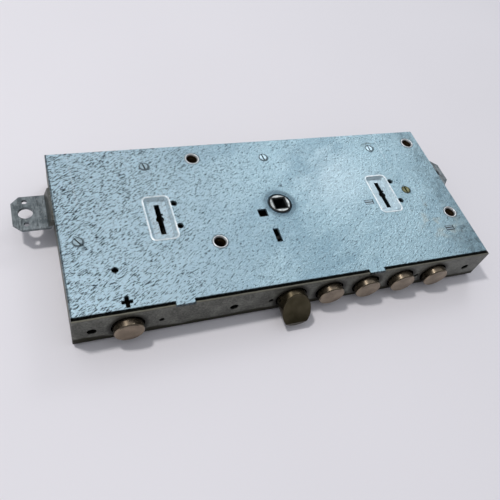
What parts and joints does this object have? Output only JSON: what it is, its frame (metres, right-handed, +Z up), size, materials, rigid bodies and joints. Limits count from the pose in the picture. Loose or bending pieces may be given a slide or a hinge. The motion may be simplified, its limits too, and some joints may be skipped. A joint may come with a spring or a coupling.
{
  "type": "mortise lock",
  "caption": "Flat box lock case with round deadbolts, a bevelled latch, a square handle follower, key cups in the cover and a rod bracket at each end.",
  "frame": {"origin": "the handle follower's axis at the underside of the case", "axes": "+X along the case to the right, +Y from the front plate to the back, +Z up through the cover"},
  "size_m": [0.3312, 0.1416, 0.0283],
  "materials": {
    "galvanised_cover": "light blue-grey galvanised sheet, passivated, with dark flecks",
    "galvanised_case": "dull grey-brown galvanised sheet",
    "nickel_bolt": "satin nickel plated steel",
    "zinc_bracket": "grey zinc plated sheet, worn in patches",
    "yellow_zinc": "yellow passivated zinc",
    "bright_steel": "bright zinc plated steel",
    "dark_screw": "dark olive passivated steel",
    "spring_steel": "oiled spring steel",
    "hardened_plate": "blackened hardened steel",
    "brass": "plain brass",
    "follower_steel": "grey sintered steel"
  },
  "bodies": {
    "case": {"case_tray": "galvanised_case", "cover_plate": "galvanised_cover", "mounting_bushes": "bright_steel", "cover_pillars": "bright_steel", "cover_screws": "bright_steel", "lever_pack_pillar": "bright_steel", "lever_pack_screw": "dark_screw", "corner_spacer": "zinc_bracket", "latch_spring": "spring_steel", "latch_guide_bracket": "zinc_bracket", "follower_spring": "spring_steel", "main_carriage_posts": "bright_steel", "service_carriage_posts": "bright_steel", "main_guide_bar": "hardened_plate", "service_guide_bar": "hardened_plate", "rod_guide_posts": "bright_steel", "lever_guide_pins": "bright_steel", "main_lever_springs": "spring_steel", "service_lever_springs": "spring_steel", "main_lever_cage": "zinc_bracket", "service_lever_cage": "zinc_bracket", "main_guard_plate": "hardened_plate", "service_guard_plate": "hardened_plate", "key_tip_bushes": "brass"},
    "main_bolt_work": {"main_bolt_carriage": "zinc_bracket", "main_bolt_screws": "dark_screw", "main_stump": "bright_steel", "deadbolt_1": "nickel_bolt", "deadbolt_2": "nickel_bolt", "deadbolt_3": "nickel_bolt", "deadbolt_4": "nickel_bolt"},
    "service_bolt_work": {"service_bolt_carriage": "zinc_bracket", "service_bolt_screw": "dark_screw", "service_stump": "bright_steel", "service_deadbolt": "nickel_bolt"},
    "left_rod": {"left_rod_slide": "yellow_zinc", "left_rod_bracket": "zinc_bracket", "left_rod_rivets": "bright_steel", "left_cam_pin": "bright_steel"},
    "right_rod": {"right_rod_slide": "yellow_zinc", "right_rod_bracket": "zinc_bracket", "right_rod_rivets": "bright_steel", "right_cam_pin": "bright_steel"},
    "follower": {"handle_follower": "follower_steel"},
    "latch": {"latch_bolt": "nickel_bolt"},
    "main_lever_body_1": {"main_lever_1": "brass"},
    "main_lever_body_2": {"main_lever_2": "brass"},
    "main_lever_body_3": {"main_lever_3": "brass"},
    "main_lever_body_4": {"main_lever_4": "brass"},
    "main_lever_body_5": {"main_lever_5": "brass"},
    "service_lever_body_1": {"service_lever_1": "brass"},
    "service_lever_body_2": {"service_lever_2": "brass"},
    "service_lever_body_3": {"service_lever_3": "brass"},
    "service_lever_body_4": {"service_lever_4": "brass"}
  },
  "joints": [
    {"name": "main_throw", "type": "slide", "parent": "case", "child": "main_bolt_work", "axis": [0, -1, 0], "range_m": [0, 0.024]},
    {"name": "left_rod_slide_out", "type": "slide", "parent": "case", "child": "left_rod", "axis": [-1, 0, 0], "range_m": [0, 0.018]},
    {"name": "right_rod_slide_out", "type": "slide", "parent": "case", "child": "right_rod", "axis": [1, 0, 0], "range_m": [0, 0.018]},
    {"name": "service_throw", "type": "slide", "parent": "case", "child": "service_bolt_work", "axis": [0, -1, 0], "range_m": [0, 0.024]},
    {"name": "handle_turn", "type": "hinge", "parent": "case", "child": "follower", "pos_m": [0, 0, 0.014], "axis": [0, 0, -1], "range_deg": [0, 48]},
    {"name": "latch_slide", "type": "slide", "parent": "case", "child": "latch", "axis": [0, 1, 0], "range_m": [0, 0.0135], "stiffness_N_per_m": 250, "springref_m": -0.006, "deforming": ["latch_spring"]},
    {"name": "main_lever_1_lift", "type": "slide", "parent": "case", "child": "main_lever_body_1", "axis": [1, 0, 0], "range_m": [-0.0015, 0.0015], "stiffness_N_per_m": 300},
    {"name": "main_lever_2_lift", "type": "slide", "parent": "case", "child": "main_lever_body_2", "axis": [1, 0, 0], "range_m": [-0.0015, 0.0015], "stiffness_N_per_m": 300},
    {"name": "main_lever_3_lift", "type": "slide", "parent": "case", "child": "main_lever_body_3", "axis": [1, 0, 0], "range_m": [-0.0015, 0.0015], "stiffness_N_per_m": 300},
    {"name": "main_lever_4_lift", "type": "slide", "parent": "case", "child": "main_lever_body_4", "axis": [1, 0, 0], "range_m": [-0.0015, 0.0015], "stiffness_N_per_m": 300},
    {"name": "main_lever_5_lift", "type": "slide", "parent": "case", "child": "main_lever_body_5", "axis": [1, 0, 0], "range_m": [-0.0015, 0.0015], "stiffness_N_per_m": 300},
    {"name": "service_lever_1_lift", "type": "slide", "parent": "case", "child": "service_lever_body_1", "axis": [1, 0, 0], "range_m": [-0.0015, 0.0015], "stiffness_N_per_m": 300},
    {"name": "service_lever_2_lift", "type": "slide", "parent": "case", "child": "service_lever_body_2", "axis": [1, 0, 0], "range_m": [-0.0015, 0.0015], "stiffness_N_per_m": 300},
    {"name": "service_lever_3_lift", "type": "slide", "parent": "case", "child": "service_lever_body_3", "axis": [1, 0, 0], "range_m": [-0.0015, 0.0015], "stiffness_N_per_m": 300},
    {"name": "service_lever_4_lift", "type": "slide", "parent": "case", "child": "service_lever_body_4", "axis": [1, 0, 0], "range_m": [-0.0015, 0.0015], "stiffness_N_per_m": 300}
  ],
  "couplings": [
    {"joint": "left_rod_slide_out", "follows": "main_throw", "ratio": 0.75},
    {"joint": "right_rod_slide_out", "follows": "main_throw", "ratio": 0.75},
    {"joint": "handle_turn", "follows": "latch_slide", "rad_per_m": 62.056}
  ]
}
